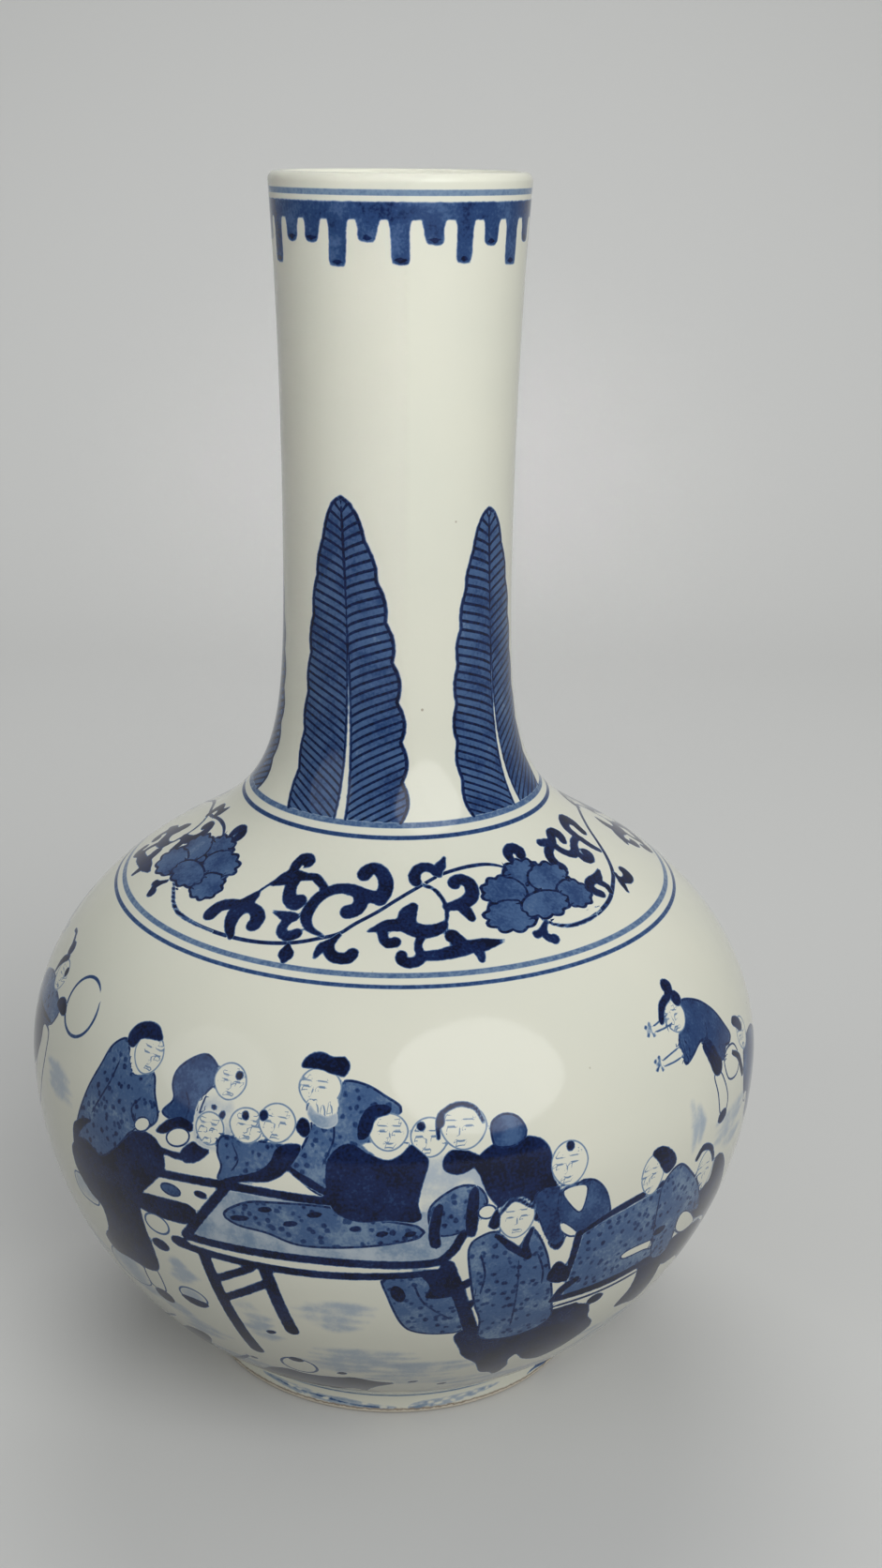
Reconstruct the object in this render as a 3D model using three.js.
// A tall-necked porcelain bottle vase, thrown in four sections that are luted together with slip:
// a turned foot ring, a lower and an upper half of the globular belly, and a waisted neck with a rolled lip.
// Millimetres, +Z up, origin on the table under the middle of the foot.
import * as THREE from "three";

// Outline of the outside, from the table up.
const HEIGHT = 390;
const FOOT_RADIUS = 67;
const FOOT_HEIGHT = 8;
const BELLY_RADIUS = 122;
const BELLY_LEVEL = 110;
const SHOULDER_RADIUS = 76;
const SHOULDER_LEVEL = 178;
const WAIST_RADIUS = 36.3;
const WAIST_LEVEL = 276;
const MOUTH_RADIUS = 39.6;

// Thickness of the clay.
const BASE_THICKNESS = 8;
const BELLY_WALL = 6;
const NECK_WALL = 4.6;
const LIP_THICKNESS = 5.2;
const FOOT_RING_WIDTH = 9;

// The luted joints.
const NECK_JOINT_LEVEL = 210;
const SLIP_THICKNESS = 1;
const SLIP_BEAD = 1.6;

// Small forms.
const FOOT_EDGE_ROUNDING = 1.8;
const FOOT_TAPER = 1;
const FLOOR_FILLET = 7;

// How finely the turned surfaces are divided.
const TURN_STEPS = 48;
const BELLY_STEPS = 10;
const FLARE_STEPS = 12;
const NECK_STEPS = 7;
const LIP_STEPS = 8;
const EDGE_STEPS = 4;
const LEVEL_TOLERANCE = 0.01;

// How far the flare's curve leans on its two tangents, as a share of their length.
const FLARE_SHOULDER_PULL = 0.9;
const FLARE_NECK_PULL = 0.92;
const MOUTH_PULL = 0.45;

const SEAT_LEVEL = FOOT_HEIGHT + SLIP_THICKNESS;
const LIP_RADIUS = LIP_THICKNESS / 2;
const LIP_LEVEL = HEIGHT - LIP_RADIUS;

const point = (radius, level) => new THREE.Vector2(radius, level);

// Semi-height of the quarter ellipse that has the belly's radius and passes through a point.
function ellipseRise(radius, level) {
  return Math.abs(level - BELLY_LEVEL) / Math.sqrt(1 - (radius / BELLY_RADIUS) ** 2);
}

// The lower belly: from the foot's seat out to the widest circle.
function lowerBellyCurve() {
  const rise = ellipseRise(FOOT_RADIUS, SEAT_LEVEL);
  const start = -Math.acos(FOOT_RADIUS / BELLY_RADIUS);
  return new THREE.EllipseCurve(0, BELLY_LEVEL, BELLY_RADIUS, rise, start, 0);
}

// The upper belly: from the widest circle in to the shoulder.
function upperBellyCurve() {
  const rise = ellipseRise(SHOULDER_RADIUS, SHOULDER_LEVEL);
  const end = Math.acos(SHOULDER_RADIUS / BELLY_RADIUS);
  return new THREE.EllipseCurve(0, BELLY_LEVEL, BELLY_RADIUS, rise, 0, end);
}

// The flare: leaves the shoulder along the belly's own slope and ends upright at the neck's waist.
function flareCurve() {
  const slope = upperBellyCurve().getTangent(1);
  const run = (WAIST_RADIUS - SHOULDER_RADIUS) / slope.x;
  const corner = SHOULDER_LEVEL + slope.y * run;
  return new THREE.CubicBezierCurve(
    point(SHOULDER_RADIUS, SHOULDER_LEVEL),
    point(SHOULDER_RADIUS, SHOULDER_LEVEL).addScaledVector(slope, run * FLARE_SHOULDER_PULL),
    point(WAIST_RADIUS, WAIST_LEVEL - (WAIST_LEVEL - corner) * FLARE_NECK_PULL),
    point(WAIST_RADIUS, WAIST_LEVEL),
  );
}

// The neck: upright at its waist, opening gently to the mouth.
function neckCurve() {
  const climb = LIP_LEVEL - WAIST_LEVEL;
  return new THREE.CubicBezierCurve(
    point(WAIST_RADIUS, WAIST_LEVEL),
    point(WAIST_RADIUS, WAIST_LEVEL + climb * MOUTH_PULL),
    point((WAIST_RADIUS + MOUTH_RADIUS) / 2, LIP_LEVEL - climb * MOUTH_PULL * 0.5),
    point(MOUTH_RADIUS, LIP_LEVEL),
  );
}

// The whole outside as one line of points, from the foot's seat to the lip.
function outsideLine() {
  const stretches = [
    lowerBellyCurve().getPoints(BELLY_STEPS),
    upperBellyCurve().getPoints(BELLY_STEPS),
    flareCurve().getPoints(FLARE_STEPS),
    neckCurve().getPoints(NECK_STEPS),
  ];
  return stretches.flatMap((points, i) => (i ? points.slice(1) : points));
}

// Clay is thickest low down and thins evenly from the widest circle to the neck joint, then swells to the lip.
function wallAt(level) {
  const { mapLinear, clamp } = THREE.MathUtils;
  if (level < NECK_JOINT_LEVEL) {
    const share = clamp(mapLinear(level, BELLY_LEVEL, NECK_JOINT_LEVEL, 0, 1), 0, 1);
    return THREE.MathUtils.lerp(BELLY_WALL, NECK_WALL, share);
  }
  const swell = clamp(mapLinear(level, WAIST_LEVEL, LIP_LEVEL, 0, 1), 0, 1);
  return THREE.MathUtils.lerp(NECK_WALL, LIP_THICKNESS, swell);
}

// The inside follows the outside at the wall's thickness, measured square to the outside.
function insideLine(outside) {
  return outside.map((here, i) => {
    const before = outside[Math.max(i - 1, 0)];
    const after = outside[Math.min(i + 1, outside.length - 1)];
    const along = after.clone().sub(before).normalize();
    const inward = point(-along.y, along.x);
    const isLip = i === outside.length - 1;
    return isLip
      ? point(here.x - LIP_THICKNESS, here.y)
      : here.clone().addScaledVector(inward, wallAt(here.y));
  });
}

// The point of a rising line at a level.
function atLevel(line, level) {
  const above = line.findIndex((p) => p.y >= level);
  const i = above < 0 ? line.length - 1 : Math.max(above, 1);
  const [a, b] = [line[i - 1], line[i]];
  return point(THREE.MathUtils.mapLinear(level, a.y, b.y, a.x, b.x), level);
}

// The stretch of a rising line between two levels, with its ends exactly on them.
function between(line, low, high) {
  const inner = line.filter((p) => p.y > low + LEVEL_TOLERANCE && p.y < high - LEVEL_TOLERANCE);
  return [atLevel(line, low), ...inner, atLevel(line, high)];
}

const outside = outsideLine();
const inside = insideLine(outside);

const glazedPorcelain = new THREE.MeshStandardMaterial({ color: 0xe4e4da, roughness: 0.12, metalness: 0 });
const firedSlip = new THREE.MeshStandardMaterial({ color: 0xdedccf, roughness: 0.45, metalness: 0 });

// A named solid turned about the vertical axis from a closed outline of (radius, level) points.
function turned(name, outline, material) {
  const onAxis = outline[0].x === 0 && outline.at(-1).x === 0;
  const profile = onAxis ? outline : [...outline, outline[0].clone()];
  const geometry = new THREE.LatheGeometry(profile, TURN_STEPS).rotateX(Math.PI / 2);
  const mesh = new THREE.Mesh(geometry, material);
  mesh.name = name;
  return mesh;
}

// Foot ring: tapers a little towards the table and rounds over both edges, with a flat tread between them.
function footRing() {
  const [outer, inner] = [FOOT_RADIUS, FOOT_RADIUS - FOOT_RING_WIDTH];
  const [treadOuter, treadInner] = [outer - FOOT_TAPER, inner + FOOT_TAPER];
  const path = new THREE.Path();
  path.moveTo(inner, FOOT_HEIGHT);
  path.lineTo(treadInner, FOOT_EDGE_ROUNDING);
  path.quadraticCurveTo(treadInner, 0, treadInner + FOOT_EDGE_ROUNDING, 0);
  path.lineTo(treadOuter - FOOT_EDGE_ROUNDING, 0);
  path.quadraticCurveTo(treadOuter, 0, treadOuter, FOOT_EDGE_ROUNDING);
  path.lineTo(outer, FOOT_HEIGHT);
  return turned("foot_ring", path.getPoints(EDGE_STEPS), glazedPorcelain);
}

// Lower belly: a round-bottomed bowl on a flat seat, closed by the base.
function lowerBelly() {
  const top = BELLY_LEVEL - SLIP_THICKNESS / 2;
  const floor = SEAT_LEVEL + BASE_THICKNESS;
  const wall = between(inside, floor + FLOOR_FILLET, top);
  const toe = atLevel(inside, floor);
  const floorEdge = point(toe.x - toe.distanceTo(wall[0]), floor);
  const fillet = new THREE.QuadraticBezierCurve(wall[0], toe, floorEdge).getPoints(EDGE_STEPS);
  const outline = [
    point(0, SEAT_LEVEL),
    ...between(outside, SEAT_LEVEL, top),
    ...wall.slice(1).reverse(),
    ...fillet,
    point(0, floor),
  ];
  return turned("lower_belly", outline, glazedPorcelain);
}

// Upper belly: the domed half that closes in to the neck joint.
function upperBelly() {
  const low = BELLY_LEVEL + SLIP_THICKNESS / 2;
  const high = NECK_JOINT_LEVEL - SLIP_THICKNESS / 2;
  const outline = [...between(outside, low, high), ...between(inside, low, high).reverse()];
  return turned("upper_belly", outline, glazedPorcelain);
}

// Neck: from the joint at its root to the rounded lip.
function neck() {
  const low = NECK_JOINT_LEVEL + SLIP_THICKNESS / 2;
  const middle = MOUTH_RADIUS - LIP_RADIUS;
  const lip = new THREE.EllipseCurve(middle, LIP_LEVEL, LIP_RADIUS, LIP_RADIUS, 0, Math.PI);
  const outline = [
    ...between(outside, low, LIP_LEVEL),
    ...lip.getPoints(LIP_STEPS).slice(1, -1),
    ...between(inside, low, LIP_LEVEL).reverse(),
  ];
  return turned("neck", outline, glazedPorcelain);
}

// Slip between two sections: scraped flush outside, with a squeezed-out bead left on the inside.
function slipRing(name, outerLow, outerHigh, innerHigh, innerLow) {
  const bead = new THREE.QuadraticBezierCurve(
    innerHigh,
    point((innerHigh.x + innerLow.x) / 2 - SLIP_BEAD, (innerHigh.y + innerLow.y) / 2),
    innerLow,
  );
  return turned(name, [outerLow, outerHigh, ...bead.getPoints(EDGE_STEPS)], firedSlip);
}

// A joint in the wall, where the sections above and below end on one level plane each.
function wallSlip(name, level) {
  const [low, high] = [level - SLIP_THICKNESS / 2, level + SLIP_THICKNESS / 2];
  return slipRing(
    name,
    atLevel(outside, low),
    atLevel(outside, high),
    atLevel(inside, high),
    atLevel(inside, low),
  );
}

// The joint between the foot ring and the flat seat under the base.
function footSlip() {
  const [outer, inner] = [FOOT_RADIUS, FOOT_RADIUS - FOOT_RING_WIDTH];
  return slipRing(
    "foot_slip",
    point(outer, FOOT_HEIGHT),
    point(outer, SEAT_LEVEL),
    point(inner, SEAT_LEVEL),
    point(inner, FOOT_HEIGHT),
  );
}

const vase = new THREE.Group();
vase.name = "bottle_vase";
vase.add(
  footRing(),
  footSlip(),
  lowerBelly(),
  wallSlip("belly_slip", BELLY_LEVEL),
  upperBelly(),
  wallSlip("neck_slip", NECK_JOINT_LEVEL),
  neck(),
);

export default vase;
